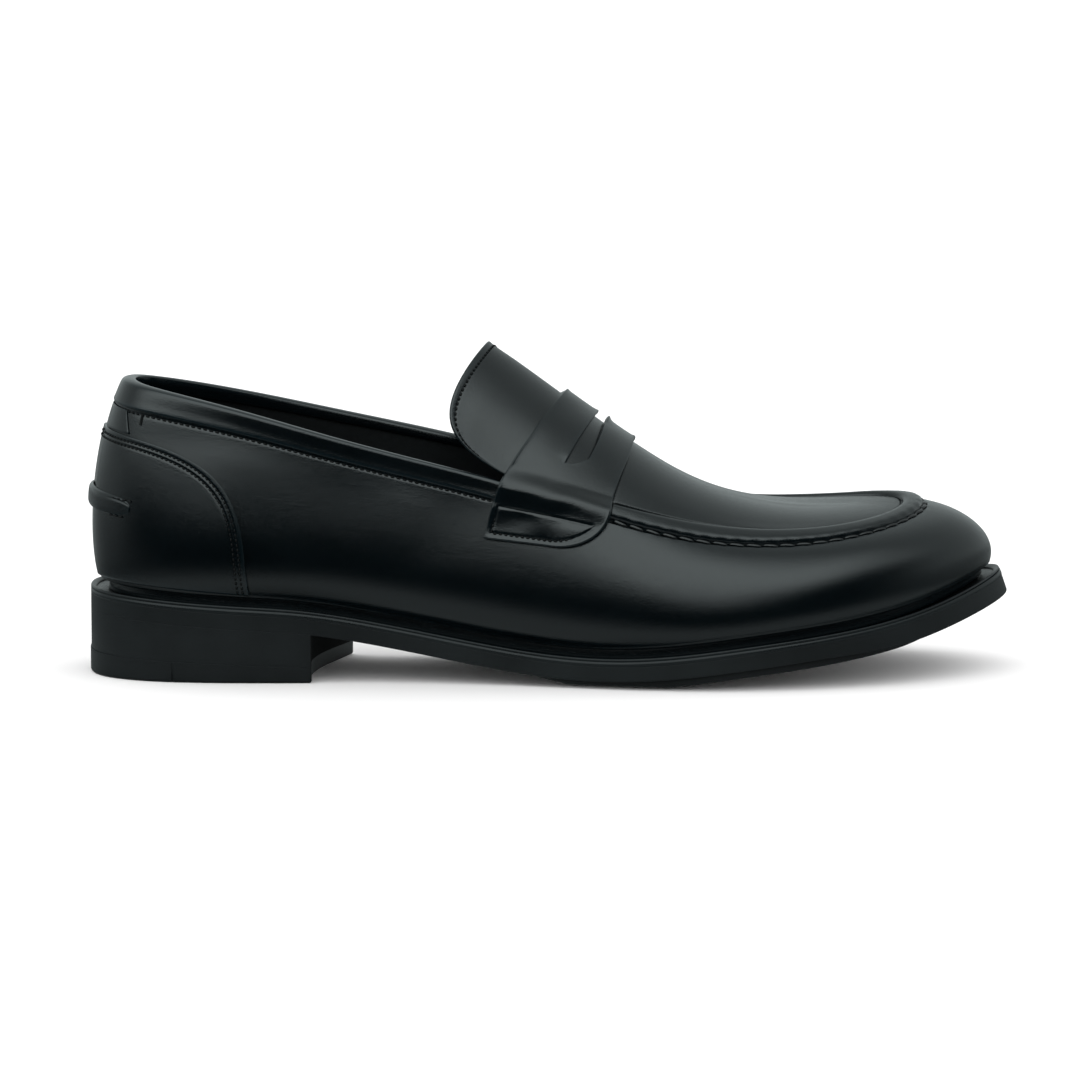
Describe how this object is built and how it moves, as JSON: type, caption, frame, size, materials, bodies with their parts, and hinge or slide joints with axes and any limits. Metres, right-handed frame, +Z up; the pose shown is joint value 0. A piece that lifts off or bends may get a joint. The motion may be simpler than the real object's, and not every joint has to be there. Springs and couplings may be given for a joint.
{
  "type": "penny loafer shoe",
  "caption": "Black moccasin-toe penny loafer for the right foot: slotted saddle strap, raised apron seam, bound topline, low stacked heel and a flexing tongue.",
  "frame": {"origin": "on the ground, at the centre of the outsole's footprint box", "axes": "+X from heel to toe, +Y to the medial (inner) side of the foot, +Z up from the ground"},
  "size_m": [0.3001, 0.104, 0.1073],
  "materials": {
    "outsole_rubber": "satin moulded rubber",
    "heel_stack": "satin, edge inked",
    "top_lift_rubber": "matt, scuffed",
    "nail_metal": "worn flush nail heads",
    "welt_rubber": "waxed edge with a bright upper arris",
    "cork": "raw granulated cork",
    "spring_steel": "brushed",
    "fibreboard": "raw fibreboard",
    "pad_foam": "open cell foam",
    "sock_leather": "matt drum-dyed leather",
    "calf_leather": "satin aniline calf, fine grain",
    "apron_leather": "satin calf, fine grain",
    "strap_leather": "satin calf, fine grain",
    "tongue_leather": "satin calf, fine grain",
    "binding_leather": "satin calf, fine grain",
    "thread": "waxed polyester thread",
    "lining_leather": "matt lining leather",
    "grip_suede": "brushed suede"
  },
  "bodies": {
    "shoe": {"outsole": "outsole_rubber", "tread_forefoot": "outsole_rubber", "heel_block": "heel_stack", "heel_top_lift": "top_lift_rubber", "heel_nails": "nail_metal", "welt": "welt_rubber", "welt_bead": "welt_rubber", "bottom_filler": "cork", "shank": "spring_steel", "insole_board": "fibreboard", "heel_pad": "pad_foam", "sock_lining": "sock_leather", "side_wall": "calf_leather", "apron": "apron_leather", "apron_roll": "apron_leather", "apron_stitching": "thread", "saddle_strap": "strap_leather", "strap_stitching": "thread", "topline_binding": "binding_leather", "topline_stitching": "thread", "counter_cover": "calf_leather", "counter_stitching": "thread", "back_strip": "calf_leather", "heel_tab": "strap_leather", "bartacks": "thread", "toe_puff": "fibreboard", "counter_stiffener": "fibreboard", "vamp_lining": "lining_leather", "apron_lining": "lining_leather", "quarter_lining": "lining_leather", "heel_grip": "grip_suede"},
    "tongue": {"tongue": "tongue_leather", "tongue_lining": "lining_leather", "tongue_stitching": "thread"}
  },
  "joints": [
    {"name": "tongue_flex", "type": "hinge", "parent": "shoe", "child": "tongue", "pos_m": [0.0035, 0, 0.0915], "axis": [0, 1, 0], "range_deg": [0, 16], "stiffness_Nm_per_rad": 0.15}
  ]
}
